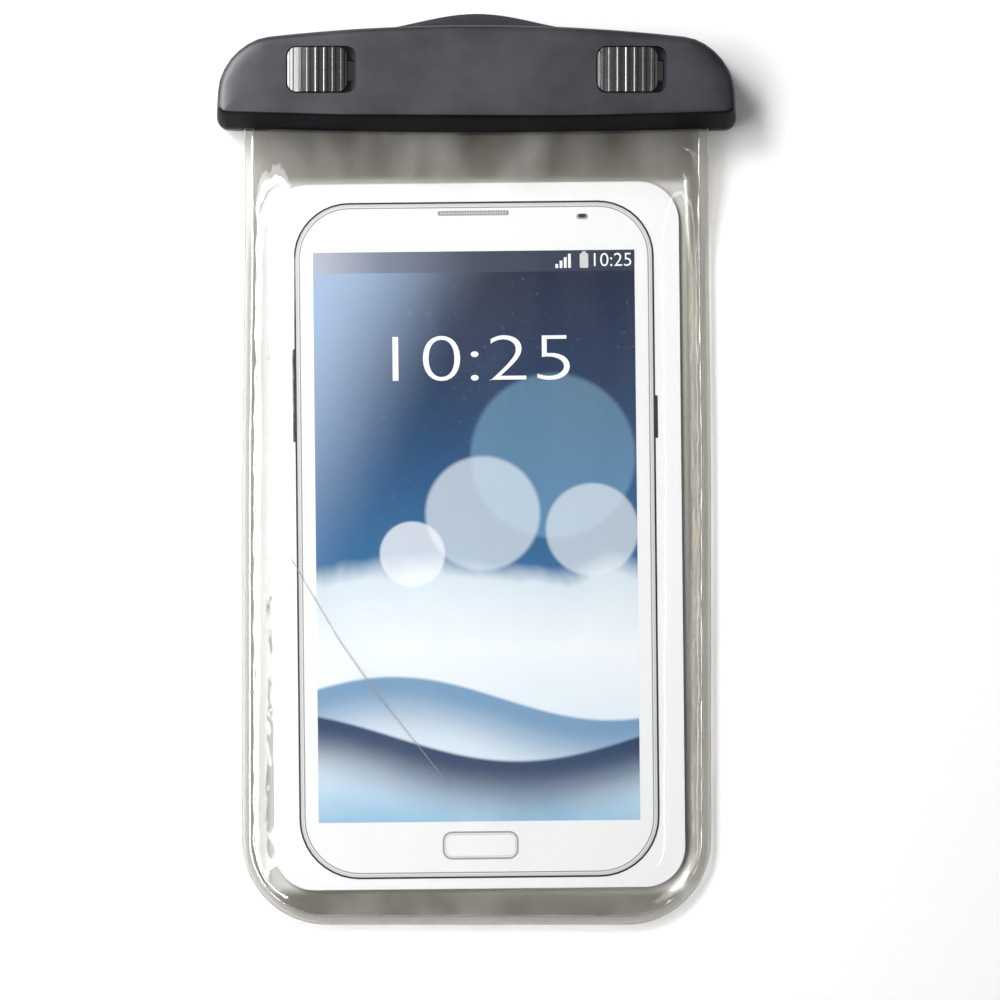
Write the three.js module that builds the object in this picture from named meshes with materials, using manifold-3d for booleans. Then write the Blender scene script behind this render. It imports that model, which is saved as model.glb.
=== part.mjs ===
// Waterproof phone pouch: a clear welded film pouch, closed by a hinged clip with two sliding latches.
// Millimetres. The pouch lies on its back: X across, Y from the closed end to the clip, Z up through the front.
import * as THREE from "three";
import { mergeVertices } from "three/addons/utils/BufferGeometryUtils.js";
import Module from "manifold-3d";

const wasm = await Module();
wasm.setup();

// Running clearance between pieces that touch or slide
const clearance = 0.3;

// Pouch
const pouchWidth = 105; // across the welded edges
const pouchLength = 177.8; // from the closed end to the clip's lower corners
const mouthNarrowing = 1.5; // by which the pouch is narrower where the clip grips it
const cornerRadius = 19; // closed end's outer corners
const weldWidth = 2;
const filmThickness = 0.3;
const pouchFill = 6.9; // height of the front film over the floor when slightly puffed
const restingWeldHeight = 1.5; // middle of the welded edge over the floor
const neckLength = 16; // film that runs on between the jaws
const frontShoulder = 12; // width of the front film's rounded slope
const backShoulder = 3; // width of the back film's slope
const backNeckShoulder = 10; // the same where the back film meets the clip
const neckRise = 10; // length over which the back film climbs to the clip
const weldRise = 30; // length over which the welded edge climbs to the clip
const mouthWidth = pouchWidth - mouthNarrowing;

// Insert card
const cardSideMargin = 6.5; // from the pouch's outer edges
const cardEndMargin = 8; // from the pouch's closed end
const cardMouthMargin = 11.8; // from the clip's lower corners
const cardThickness = 0.4;
const cardCornerRadius = 9;
const cardTurn = THREE.MathUtils.degToRad(0.6);
const cardWidth = pouchWidth - 2 * cardSideMargin;
const cardLength = pouchLength - cardEndMargin - cardMouthMargin;

// Clip
const clipOverhang = 5.5; // beyond the pouch's outer edges
const clipEndDepth = 19.1; // along Y at the ends, before the top edge's arch
const topArch = 3.85;
const lowBow = 1.1;
const endSlant = 1; // the ends lean in by this much towards the top
const topCornerRadius = 11;
const lowCornerRadius = 2.5;
const backJawHeight = 6;
const frontJawHeight = 7.7;
const crownHeight = 0.25; // the front face's slight dome
const jawWall = 1.8;
const clipWidth = pouchWidth + 2 * clipOverhang;

// The jaws' rounded edges, level by level: height, inset of the top edge and the ends, inset of the lower edge
const backJawLevels = [
  [0, 1.4, 1.4],
  [0.5, 0.5, 0.5],
  [1.4, 0, 0],
  [backJawHeight, 0, 0],
];
const frontJawLevels = [
  [0, 0, 0],
  [0.25 * frontJawHeight, 0, 0.4],
  [0.82 * frontJawHeight, 0.35, 2.8],
  [0.9 * frontJawHeight, 0.65, 3.15],
  [0.96 * frontJawHeight, 1.2, 3.55],
  [frontJawHeight, 2.2, 4.3],
  [frontJawHeight + 0.55 * crownHeight, 3.6, 5.3],
  [frontJawHeight + crownHeight, 6, 7.2],
];

// Hump, the back jaw's tab behind the front jaw's top edge
const humpWidth = 49;
const humpRise = 3.05;
const humpThickness = 3;
const humpRounding = 0.8; // of its two long edges
const rebateInset = 0.5; // from the hinge's axis to the low edge that the front jaw swings down over

// Lanyard bridge in the back jaw's outer face
const lanyardPocketWidth = 11;
const lanyardPocketLength = 5.6;
const lanyardPocketDepth = 3.2;
const lanyardPocketRadius = 1.5;
const lanyardBarWidth = 2.6;
const lanyardBarThickness = 1.8;
const lanyardBelowHinge = 7; // from the hinge's axis to the pocket's middle

// Hinge
const hingeInset = 2.6; // from the top edge's middle to the hinge's axis
const hingeLength = 40;
const knuckleCount = 5;
const knuckleGap = 0.4;
const knuckleRadius = 2.1;
const knuckleWeb = 0.8; // how far a knuckle's foot reaches past the axis
const pinDiameter = 1.8;

// Sealing strips
const sealWidth = 2.2;
const sealHeight = 2.1;
const sealProud = 0.4;
const sealFromLip = 3.4; // from the clip's lower edge to the strips' middle
const sealFromEdge = 2; // from the pouch's edges to the strips' ends

// Latches
const latchFromEnd = 23.6; // from the clip's ends to the windows' middles
const latchFromTop = 10.3; // from the top edge's middle to the windows' middles
const latchWidth = 13.2;
const latchLength = 9.8;
const latchTravel = 1.8;
const latchProud = 0.9; // how far the ribs stand over the front face
const latchDome = 0.7;
const latchCornerRadius = 2;
const ribCount = 7;
const ribHeight = 0.55;
const ribShare = 0.52; // share of the pitch that a rib takes
const ribLandShare = 0.55; // share of a rib's foot that its flat top takes
const windowDepth = 2.6;
const windowFloor = 1.6;
const legThickness = 1.8;
const legWidth = 4;
const legSpacing = 10.4;
const hookReach = 0.7;
const hookHeight = 0.5;
const plateWidth = 16.4;
const plateLength = 9.6;
const plateThickness = 1.5;
const plateCornerRadius = 1.2;
const postWidth = 3;
const postCornerRadius = 0.6;
const postBelowLatch = 2.4; // from the windows' middles towards the sealing strips
const swingClearance = 0.8; // room round a post as the front jaw swings off it
const postHoleDiameter = 5.4;
const latchSpacing = clipWidth - 2 * latchFromEnd;

// Ribs between the front jaw's cored pockets
const corePocketWidth = 12;
const corePocketCount = 3;
const coreRib = 1.2;
const coreHingeWall = 1;

// Heights that follow from the stack of film between the jaws
const filmGap = clearance;
const partingZ = backJawHeight + filmGap / 2;
const hingeZ = backJawHeight;
const frontBaseZ = partingZ + filmGap / 2;
const frontTopZ = frontBaseZ + frontJawHeight;
const stackHalf = filmGap / 2 + filmThickness + clearance;
const backSealZ = partingZ - stackHalf;
const frontSealZ = partingZ + stackHalf;
const backRecessZ = backSealZ - sealProud;
const frontRecessZ = frontSealZ + sealProud;

// Places along the length
const clipLowY = pouchLength;
const clipEndTopY = clipLowY + clipEndDepth;
const clipTopY = clipEndTopY + topArch;
const hingeY = clipTopY - hingeInset;
const sealY = clipLowY + sealFromLip;
const latchY = clipTopY - latchFromTop;
const postY = latchY - postBelowLatch;
const plateY = latchY - postBelowLatch / 2;
const neckTopY = pouchLength + neckLength;
const overallLength = clipTopY + humpRise;

const windowWidth = latchWidth + latchTravel + 2 * clearance;
const windowLength = latchLength + 2 * clearance;
const windowTopZ = frontTopZ + crownHeight;
const windowBaseZ = windowTopZ - windowDepth;
const chamberTopZ = windowBaseZ - windowFloor;
const plateTopZ = chamberTopZ - clearance;
const plateBaseZ = plateTopZ - plateThickness;
const overlap = 1; // how far joined solids reach into each other, and cutters past a face

const smooth = (t) => THREE.MathUtils.smoothstep(t, 0, 1);

// A three.js geometry as a solid that can be joined and cut
function solid(geometry) {
  const bare = geometry.clone();
  bare.deleteAttribute("normal");
  bare.deleteAttribute("uv");
  const merged = mergeVertices(bare, 1e-4);
  const corners = merged.index.array;
  const triVerts = [];
  for (let i = 0; i < corners.length; i += 3) {
    const [a, b, c] = [corners[i], corners[i + 1], corners[i + 2]];
    if (a !== b && b !== c && c !== a) triVerts.push(a, b, c);
  }
  return new wasm.Manifold(
    new wasm.Mesh({
      numProp: 3,
      vertProperties: merged.attributes.position.array,
      triVerts: new Uint32Array(triVerts),
    }),
  );
}

// A solid back as a three.js geometry
function geometryOf(made) {
  const { vertProperties, triVerts } = made.getMesh();
  const geometry = new THREE.BufferGeometry();
  geometry.setAttribute("position", new THREE.BufferAttribute(vertProperties, 3));
  geometry.setIndex(new THREE.BufferAttribute(triVerts, 1));
  const faceted = geometry.toNonIndexed();
  faceted.computeVertexNormals();
  return faceted;
}

// Box between two corners
function block(x0, x1, y0, y1, z0, z1) {
  const box = new THREE.BoxGeometry(x1 - x0, y1 - y0, z1 - z0);
  return solid(box.translate((x0 + x1) / 2, (y0 + y1) / 2, (z0 + z1) / 2));
}

// Rectangle with round corners, about its middle
function roundedRectangle(width, length, radius) {
  const x = width / 2;
  const y = length / 2;
  const r = Math.min(radius, x, y);
  const shape = new THREE.Shape();
  shape.absarc(x - r, r - y, r, -Math.PI / 2, 0);
  shape.absarc(x - r, y - r, r, 0, Math.PI / 2);
  shape.absarc(r - x, y - r, r, Math.PI / 2, Math.PI);
  shape.absarc(r - x, r - y, r, Math.PI, 1.5 * Math.PI);
  shape.closePath();
  return shape;
}

// Upright prism of a flat shape
function prismGeometry(shape, z0, z1, curveSegments = 6) {
  const extruded = new THREE.ExtrudeGeometry(shape, { depth: z1 - z0, bevelEnabled: false, curveSegments });
  return extruded.translate(0, 0, z0);
}

// Round bar along X
function barAlongX(radius, x0, x1, y, z, sides = 24) {
  const bar = new THREE.CylinderGeometry(radius, radius, x1 - x0, sides).rotateZ(Math.PI / 2);
  return solid(bar.translate((x0 + x1) / 2, y, z));
}

// Closed solid through a stack of rings that run anticlockwise seen from above, lowest first
function loft(rings) {
  const count = rings[0].length;
  const positions = rings.flat().flatMap((p) => [p.x, p.y, p.z]);
  const index = [];
  for (let level = 0; level + 1 < rings.length; level++) {
    for (let i = 0; i < count; i++) {
      const a = level * count + i;
      const b = level * count + ((i + 1) % count);
      index.push(a, b, b + count, a, b + count, a + count);
    }
  }
  const flat = (ring) => ring.map((p) => new THREE.Vector2(p.x, p.y));
  const last = (rings.length - 1) * count;
  for (const [a, b, c] of THREE.ShapeUtils.triangulateShape(flat(rings[0]), [])) index.push(a, c, b);
  for (const [a, b, c] of THREE.ShapeUtils.triangulateShape(flat(rings.at(-1)), [])) {
    index.push(last + a, last + b, last + c);
  }
  const geometry = new THREE.BufferGeometry();
  geometry.setAttribute("position", new THREE.Float32BufferAttribute(positions, 3));
  geometry.setIndex(index);
  return solid(geometry);
}

// One level of a jaw's outline: a rounded bar with an arched top edge and a bowed lower edge.
// inset draws in the top and the ends, lip the lower edge.
function jawRing(z, inset, lip) {
  const sharpest = 0.5;
  const half = clipWidth / 2 - inset;
  const low = clipLowY + lip;
  const high = clipEndTopY - inset;
  const top = Math.max(topCornerRadius - inset, sharpest);
  const bottom = Math.max(lowCornerRadius - inset, sharpest);
  const corners = [
    [half - bottom, low + bottom, bottom, -90],
    [half - top, high - top, top, 0],
    [top - half, high - top, top, 90],
    [bottom - half, low + bottom, bottom, 180],
  ];
  const cornerSteps = 7;
  const edgeSteps = 18;
  const points = [];
  corners.forEach(([x, y, radius, from], n) => {
    for (let i = 0; i <= cornerSteps; i++) {
      const angle = THREE.MathUtils.degToRad(from + (90 * i) / cornerSteps);
      points.push([x + radius * Math.cos(angle), y + radius * Math.sin(angle)]);
    }
    if (n % 2 === 0) return;
    const [x0, y0] = points.at(-1);
    for (let i = 1; i < edgeSteps; i++) points.push([x0 - (2 * x0 * i) / edgeSteps, y0]);
  });
  return points.map(([x, y]) => {
    const up = (y - low) / (high - low);
    const across = 1 - (x / half) ** 2;
    const bowed = y + topArch * across * up - lowBow * across * (1 - up);
    return new THREE.Vector3(x * (1 - (endSlant / half) * up), bowed, z);
  });
}

// The tab's outline: straight low edge, S-shaped rise to the hump
function humpRing(z, inset) {
  const half = humpWidth / 2 - inset;
  const low = hingeY - knuckleRadius;
  const steps = 24;
  const points = [new THREE.Vector3(-half, low, z), new THREE.Vector3(half, low, z)];
  for (let i = 0; i <= steps; i++) {
    const x = half - (2 * half * i) / steps;
    const arch = clipEndTopY + topArch * (1 - (x / (clipWidth / 2)) ** 2);
    const rise = (humpRise / 2) * (1 + Math.cos((Math.PI * x) / half));
    points.push(new THREE.Vector3(x, arch + rise - inset, z));
  }
  return points;
}

// The span along X of one hinge knuckle
function knuckleSpan(n) {
  const length = (hingeLength - (knuckleCount - 1) * knuckleGap) / knuckleCount;
  const start = n * (length + knuckleGap) - hingeLength / 2;
  return [start, start + length];
}

const backKnuckles = [];
const frontKnuckles = [];
for (let n = 0; n < knuckleCount; n++) (n % 2 ? frontKnuckles : backKnuckles).push(knuckleSpan(n));
const latchCentres = [-latchSpacing / 2, latchSpacing / 2];

// Cuts the bore of the hinge's pin
function boreHinge(jaw) {
  const reach = hingeLength / 2 + overlap;
  return jaw.subtract(barAlongX(pinDiameter / 2 + clearance, -reach, reach, hingeY, hingeZ));
}

// Clears a jaw round the other jaw's knuckles
function clearKnuckles(jaw, spans) {
  for (const [x0, x1] of spans) {
    const round = barAlongX(knuckleRadius + clearance, x0 - knuckleGap, x1 + knuckleGap, hingeY, hingeZ);
    jaw = jaw.subtract(round);
  }
  return jaw;
}

// Recess in which the pouch's neck lies between the jaws
function neckRecess(z0, z1) {
  const half = mouthWidth / 2 + 2 * clearance;
  return block(-half, half, clipLowY - lowBow - overlap, neckTopY + 2 * clearance, z0, z1);
}

// Groove of a sealing strip
const sealLength = mouthWidth - 2 * sealFromEdge;
function sealShape(extra) {
  const width = sealWidth + 2 * extra;
  return roundedRectangle(sealLength + 2 * extra, width, width / 2);
}
function sealBar(z0, z1, extra = 0) {
  return prismGeometry(sealShape(extra), z0, z1).translate(0, sealY, 0);
}

function makeBackJaw() {
  let jaw = loft(backJawLevels.map((level) => jawRing(...level)));
  // The top edge is low, so that the front jaw's edge can swing down over it.
  const wide = clipWidth / 2 + overlap;
  const rebateY = hingeY - rebateInset;
  jaw = jaw.subtract(block(-wide, wide, rebateY, overallLength, humpThickness, backJawHeight + overlap));
  jaw = jaw.add(
    loft([
      humpRing(0, humpRounding),
      humpRing(humpRounding, 0),
      humpRing(humpThickness - humpRounding, 0),
      humpRing(humpThickness, humpRounding),
    ]),
  );
  jaw = clearKnuckles(jaw, frontKnuckles);
  for (const [x0, x1] of backKnuckles) {
    jaw = jaw.add(barAlongX(knuckleRadius, x0, x1, hingeY, hingeZ));
    jaw = jaw.add(block(x0, x1, hingeY - knuckleRadius, hingeY + knuckleWeb, humpThickness - overlap, hingeZ));
  }
  jaw = boreHinge(jaw);
  jaw = jaw.subtract(neckRecess(backRecessZ, backJawHeight + overlap));
  jaw = jaw.subtract(solid(sealBar(backSealZ - sealHeight - clearance, backJawHeight, clearance)));
  for (const x of latchCentres) {
    const outline = roundedRectangle(postWidth, postWidth, postCornerRadius);
    const post = prismGeometry(outline, backRecessZ - overlap, plateTopZ, 3);
    jaw = jaw.add(solid(post.translate(x, postY, 0)));
  }
  const pocketY = hingeY - lanyardBelowHinge;
  const pocket = roundedRectangle(lanyardPocketWidth, lanyardPocketLength, lanyardPocketRadius);
  jaw = jaw.subtract(solid(prismGeometry(pocket, -overlap, lanyardPocketDepth).translate(0, pocketY, 0)));
  const bar = [lanyardBarWidth / 2, lanyardPocketLength / 2 + clearance];
  return jaw.add(block(-bar[0], bar[0], pocketY - bar[1], pocketY + bar[1], 0, lanyardBarThickness));
}

function makeFrontJaw() {
  let jaw = loft(frontJawLevels.map(([height, inset, lip]) => jawRing(frontBaseZ + height, inset, lip)));
  jaw = clearKnuckles(jaw, backKnuckles);
  for (const [x0, x1] of backKnuckles) {
    const notchTop = hingeZ + knuckleRadius - clearance;
    const notch = [x0 - knuckleGap, x1 + knuckleGap, hingeY, clipTopY + overlap];
    jaw = jaw.subtract(block(...notch, hingeZ - overlap, notchTop));
  }
  for (const [x0, x1] of frontKnuckles) jaw = jaw.add(barAlongX(knuckleRadius, x0, x1, hingeY, hingeZ));
  jaw = boreHinge(jaw);
  jaw = jaw.subtract(neckRecess(frontBaseZ - overlap, frontRecessZ));
  jaw = jaw.subtract(solid(sealBar(frontBaseZ, frontSealZ + sealHeight + clearance, clearance)));

  // Cored pockets between the latches
  const coreLow = sealY + sealWidth / 2 + jawWall;
  const coreHigh = hingeY - knuckleRadius - clearance - coreHingeWall;
  for (let n = 0; n < corePocketCount; n++) {
    const x = (n - (corePocketCount - 1) / 2) * (corePocketWidth + coreRib);
    const core = [x - corePocketWidth / 2, x + corePocketWidth / 2, coreLow, coreHigh];
    jaw = jaw.subtract(block(...core, frontBaseZ - overlap, frontTopZ - jawWall));
  }

  for (const x of latchCentres) {
    const window = prismGeometry(
      roundedRectangle(windowWidth, windowLength, latchCornerRadius + clearance),
      windowBaseZ,
      windowTopZ + overlap,
    );
    jaw = jaw.subtract(solid(window.translate(x, latchY, 0)));
    const chamberHalf = (plateWidth + latchTravel) / 2 + clearance;
    const chamberLength = plateLength / 2 + clearance;
    const chamber = [x - chamberHalf, x + chamberHalf, plateY - chamberLength, plateY + chamberLength];
    jaw = jaw.subtract(block(...chamber, frontBaseZ - overlap, chamberTopZ));
    for (const side of [-1, 1]) {
      const slotX = x + (side * legSpacing) / 2;
      const slotHalf = (legThickness + latchTravel) / 2 + clearance;
      const slotLength = legWidth / 2 + clearance;
      const slot = [slotX - slotHalf, slotX + slotHalf, latchY - slotLength, latchY + slotLength];
      jaw = jaw.subtract(block(...slot, chamberTopZ - overlap, windowBaseZ + overlap));
    }
  }
  return jaw;
}

// Ribbed button of a latch, domed across, with two hooked legs
function makeLatch(x) {
  const base = windowBaseZ + clearance;
  const crest = windowTopZ + latchProud;
  const half = latchWidth / 2;
  const pitch = latchWidth / ribCount;
  const dome = (u) => crest - latchDome * (u / half) ** 2;
  const profile = new THREE.Shape();
  profile.moveTo(-half, base);
  profile.lineTo(half, base);
  for (let n = ribCount - 1; n >= 0; n--) {
    const middle = (n - (ribCount - 1) / 2) * pitch;
    const valley = pitch / 2;
    const foot = (pitch * ribShare) / 2;
    const land = foot * ribLandShare;
    profile.lineTo(middle + valley, dome(middle + valley) - ribHeight);
    profile.lineTo(middle + foot, dome(middle + foot) - ribHeight);
    profile.lineTo(middle + land, dome(middle + land));
    profile.lineTo(middle - land, dome(middle - land));
    profile.lineTo(middle - foot, dome(middle - foot) - ribHeight);
  }
  profile.lineTo(-half, dome(-half) - ribHeight);
  const ribbed = prismGeometry(profile, -latchLength / 2, latchLength / 2).rotateX(Math.PI / 2);
  const outline = prismGeometry(roundedRectangle(latchWidth, latchLength, latchCornerRadius), base, crest + overlap);
  let latch = solid(ribbed).intersect(solid(outline));
  for (const side of [-1, 1]) {
    const inner = legSpacing / 2 - legThickness / 2;
    const outer = legSpacing / 2 + legThickness / 2;
    const hookTop = plateBaseZ - clearance;
    const hookBase = hookTop - hookHeight;
    const leg = new THREE.Shape();
    leg.moveTo(side * inner, base + overlap);
    leg.lineTo(side * inner, hookBase);
    leg.lineTo(side * outer, hookBase);
    leg.lineTo(side * (outer + hookReach), hookTop - hookHeight / 2);
    leg.lineTo(side * (outer + hookReach), hookTop);
    leg.lineTo(side * outer, hookTop);
    leg.lineTo(side * outer, base + overlap);
    latch = latch.add(solid(prismGeometry(leg, -legWidth / 2, legWidth / 2).rotateX(Math.PI / 2)));
  }
  return latch.translate([x - latchTravel / 2, latchY, 0]);
}

// Plate under the window's floor that the button's legs hook into, with a slot for the back jaw's post
function makeLockPlate(x) {
  const plate = roundedRectangle(plateWidth, plateLength, plateCornerRadius);
  let made = solid(prismGeometry(plate, plateBaseZ, plateTopZ, 4));
  const slot = [postWidth + latchTravel + 2 * clearance, postWidth + 2 * swingClearance];
  const opening = roundedRectangle(...slot, postCornerRadius + clearance);
  const cut = prismGeometry(opening, plateBaseZ - overlap, plateTopZ + overlap, 3);
  made = made.subtract(solid(cut.translate(0, postY - plateY, 0)));
  for (const side of [-1, 1]) {
    const middle = (side * legSpacing) / 2;
    const halfX = legThickness / 2 + clearance;
    const legY = latchY - plateY;
    const halfY = legWidth / 2 + clearance;
    const hole = [middle - halfX, middle + halfX, legY - halfY, legY + halfY];
    made = made.subtract(block(...hole, plateBaseZ - overlap, plateTopZ + overlap));
  }
  return made.translate([x - latchTravel / 2, plateY, 0]);
}

// Half width of the pouch's outer edge
function pouchHalfWidth(y) {
  const narrowing = smooth((y - pouchLength / 2) / (pouchLength / 2));
  return THREE.MathUtils.lerp(pouchWidth, mouthWidth, narrowing) / 2;
}

// Height of the middle of the welded edge
function weldZ(y) {
  return THREE.MathUtils.lerp(restingWeldHeight, partingZ, smooth((y - (clipLowY - lowBow - weldRise)) / weldRise));
}

// Top of the front film, at a distance inside the weld
function frontFilmTop(y, inside) {
  const weld = weldZ(y) + filmGap / 2 + filmThickness;
  const neck = partingZ + filmGap / 2 + filmThickness;
  const crown = THREE.MathUtils.lerp(pouchFill, neck, smooth((y - (clipLowY - lowBow - weldRise)) / weldRise));
  return THREE.MathUtils.lerp(weld, crown, smooth(inside / frontShoulder));
}

// Top of the back film, at a distance inside the weld
function backFilmTop(y, inside) {
  const weld = weldZ(y) - filmGap / 2;
  const neck = partingZ - filmGap / 2;
  const climb = smooth((y - (clipLowY - lowBow - neckRise)) / neckRise);
  const floor = THREE.MathUtils.lerp(filmThickness, neck, climb);
  const shoulder = THREE.MathUtils.lerp(backShoulder, backNeckShoulder, climb);
  return THREE.MathUtils.lerp(weld, floor, smooth(inside / shoulder));
}

// One film: a skin over a grid of lines that run inside the outer edge, from the closed end up to the mouth
function makeFilm(topOf, shoulder, shoulderSteps) {
  const insets = [0, weldWidth];
  for (let i = 1; i <= shoulderSteps; i++) insets.push(weldWidth + (shoulder * i) / shoulderSteps);
  const arcSteps = 8;
  const stops = [];
  for (let i = 0; i <= arcSteps; i++) stops.push({ angle: ((i / arcSteps - 1) * Math.PI) / 2 });
  const riseStart = clipLowY - lowBow - weldRise;
  const riseSteps = 15;
  const plainSteps = 5;
  for (let i = 1; i <= plainSteps; i++) {
    stops.push({ y: THREE.MathUtils.lerp(cornerRadius, riseStart, i / plainSteps) });
  }
  for (let i = 1; i <= riseSteps; i++) stops.push({ y: riseStart + (weldRise * i) / riseSteps });
  stops.push({ y: postY }, { y: neckTopY });

  const place = (stop, inset) => {
    if (stop.angle === undefined) return [pouchHalfWidth(stop.y) - inset, stop.y];
    const radius = cornerRadius - inset;
    const x = pouchWidth / 2 - cornerRadius + radius * Math.cos(stop.angle);
    return [x, cornerRadius + radius * Math.sin(stop.angle)];
  };
  // Rows of points from the outer edge to the middle line; the first row is the middle line's foot.
  const rows = stops.map((stop) => {
    const row = insets.map((inset) => [...place(stop, inset), inset]);
    const [, y, inset] = row.at(-1);
    row.push([0, y, inset]);
    return row;
  });
  rows.unshift(rows[0].map(([, y, inset]) => [0, y, inset]));

  const positions = [];
  const push = (corner) => positions.push(...corner);
  const point = ([x, y, inset], side, drop) => {
    return [x * side, y, topOf(y, Math.max(inset - weldWidth, 0)) - drop];
  };
  const quad = (a, b, c, d, turned) => {
    const order = turned ? [a, c, b, a, d, c] : [a, b, c, a, c, d];
    order.forEach(push);
  };
  for (const side of [1, -1]) {
    for (let i = 0; i + 1 < rows.length; i++) {
      for (let k = 0; k + 1 < rows[i].length; k++) {
        const cell = [rows[i][k], rows[i + 1][k], rows[i + 1][k + 1], rows[i][k + 1]];
        quad(...cell.map((p) => point(p, side, 0)), side < 0);
        quad(...cell.map((p) => point(p, side, filmThickness)), side > 0);
      }
      const edge = [point(rows[i][0], side, filmThickness), point(rows[i + 1][0], side, filmThickness)];
      quad(...edge, point(rows[i + 1][0], side, 0), point(rows[i][0], side, 0), side < 0);
    }
    const mouth = rows.at(-1);
    for (let k = 0; k + 1 < mouth.length; k++) {
      const edge = [point(mouth[k], side, filmThickness), point(mouth[k + 1], side, filmThickness)];
      quad(...edge, point(mouth[k + 1], side, 0), point(mouth[k], side, 0), side < 0);
    }
  }
  const geometry = new THREE.BufferGeometry();
  geometry.setAttribute("position", new THREE.Float32BufferAttribute(positions, 3));
  let film = solid(geometry);
  for (const x of latchCentres) {
    const hole = new THREE.CylinderGeometry(postHoleDiameter / 2, postHoleDiameter / 2, frontTopZ, 20);
    film = film.subtract(solid(hole.rotateX(Math.PI / 2).translate(x, postY, partingZ)));
  }
  return film;
}

function makeCard() {
  const shape = roundedRectangle(cardWidth, cardLength, cardCornerRadius);
  const low = filmThickness + clearance;
  const card = prismGeometry(shape, low, low + cardThickness, 8).rotateZ(cardTurn);
  return card.translate(0, cardEndMargin + cardLength / 2, 0);
}

const plastic = { color: 0x44454e, roughness: 0.55, metalness: 0 };
const film = { color: 0xe9ecee, roughness: 0.12, metalness: 0, transparent: true, opacity: 0.35 };
const rubber = { color: 0xd8d8d4, roughness: 0.8, metalness: 0 };
const steel = { color: 0xb8b9bc, roughness: 0.35, metalness: 1 };
const paper = { color: 0xf4f4f2, roughness: 0.6, metalness: 0 };

const part = new THREE.Group();
const pouch = new THREE.Group();
pouch.position.y = -overallLength / 2;
part.add(pouch);

function add(name, geometry, finish) {
  const mesh = new THREE.Mesh(geometry, new THREE.MeshStandardMaterial(finish));
  mesh.name = name;
  pouch.add(mesh);
}

add("back_jaw", geometryOf(makeBackJaw()), plastic);
add("front_jaw", geometryOf(makeFrontJaw()), plastic);
add("hinge_pin", geometryOf(barAlongX(pinDiameter / 2, -hingeLength / 2, hingeLength / 2, hingeY, hingeZ)), steel);
add("back_seal", sealBar(backSealZ - sealHeight, backSealZ), rubber);
add("front_seal", sealBar(frontSealZ, frontSealZ + sealHeight), rubber);
["left", "right"].forEach((side, n) => {
  add("latch_" + side, geometryOf(makeLatch(latchCentres[n])), plastic);
  add("lock_plate_" + side, geometryOf(makeLockPlate(latchCentres[n])), plastic);
});
add("back_film", geometryOf(makeFilm(backFilmTop, backShoulder, 4)), film);
add("front_film", geometryOf(makeFilm(frontFilmTop, frontShoulder, 6)), film);
add("insert_card", makeCard(), paper);

export default part;
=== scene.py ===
"""Looks of a clear waterproof phone pouch with a dark plastic clip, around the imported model. Metres."""

import math

import bmesh
import bpy
from mathutils import Matrix, Vector, noise


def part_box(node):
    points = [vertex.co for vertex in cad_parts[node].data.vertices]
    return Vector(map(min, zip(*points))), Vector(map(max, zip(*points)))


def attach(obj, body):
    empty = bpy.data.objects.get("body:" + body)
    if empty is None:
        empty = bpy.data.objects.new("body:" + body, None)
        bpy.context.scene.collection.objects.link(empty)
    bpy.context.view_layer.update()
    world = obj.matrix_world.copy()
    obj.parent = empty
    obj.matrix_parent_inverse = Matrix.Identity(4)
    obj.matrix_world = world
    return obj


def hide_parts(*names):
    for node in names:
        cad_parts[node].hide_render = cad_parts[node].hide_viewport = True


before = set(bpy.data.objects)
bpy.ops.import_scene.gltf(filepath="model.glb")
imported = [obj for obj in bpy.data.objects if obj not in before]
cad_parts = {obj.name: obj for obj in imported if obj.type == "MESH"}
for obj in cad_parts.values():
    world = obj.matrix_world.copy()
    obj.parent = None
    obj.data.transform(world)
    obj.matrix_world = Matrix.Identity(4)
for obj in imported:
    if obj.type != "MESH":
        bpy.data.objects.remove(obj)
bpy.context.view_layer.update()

MM = 0.001
POUCH_BODY = "pouch"

# Places read from the frame
FILM_LOW, FILM_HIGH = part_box("front_film")
JAW_LOW, JAW_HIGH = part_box("front_jaw")
CARD_LOW, CARD_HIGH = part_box("insert_card")
BACK_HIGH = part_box("back_film")[1]
POUCH_HALF = FILM_HIGH.x
CLOSED_END = FILM_LOW.y
MOUTH_END = FILM_HIGH.y
CLIP_Y = JAW_LOW.y
CARD_TOP = CARD_HIGH.z
CARD_CENTRE = (CARD_LOW + CARD_HIGH) / 2
CARD_HALF = (CARD_HIGH - CARD_LOW) / 2

# Moulded pieces: the least angle that gets a round, and which faces of the front jaw's lower side get a
# darker material as painted shade
SHARP_ANGLE = 32
FLAT_ANGLE = 0.8
PAINTED_SHADE_FLANK_SLOPE = -0.3
PAINTED_SHADE_FLANK_TOP = JAW_HIGH.z - 0.6 * MM
JAW_ROUND = 0.28 * MM
LATCH_ROUND = 0.24 * MM
PLATE_ROUND = 0.12 * MM

# Film: thickness, outline and weld
FILM = 0.3 * MM
MOUTH_HALF = 51.75 * MM
CORNER = 19 * MM
WELD = 2 * MM
REST_WELD_Z = 1.5 * MM
WELD_HALF_GAP = 0.02 * MM
SEAM_HALF = 0.11 * MM

# Film: heights, and how far the slopes reach
NECK_HALF_GAP = 0.15 * MM
NECK_Z = BACK_HIGH.z + NECK_HALF_GAP
NECK_SPREAD = 0.13 * MM
FILL_Z = FILM_HIGH.z
SAG = 0.45 * MM
FRONT_SHOULDER = 9.5 * MM
BACK_SHOULDER = 3 * MM
BACK_NECK_SHOULDER = 10 * MM
WELD_RISE = 30 * MM
NECK_RISE = 10 * MM
JAW_GRIP = 1.5 * MM
FLOOR_GAP = 0.02 * MM
LEAST_TOP = 0.1 * MM

# Film: holes for the clip's posts
POST_X = 34.4 * MM
POST_Y = CLIP_Y + 11.35 * MM
POST_HOLE = 2.7 * MM

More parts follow.
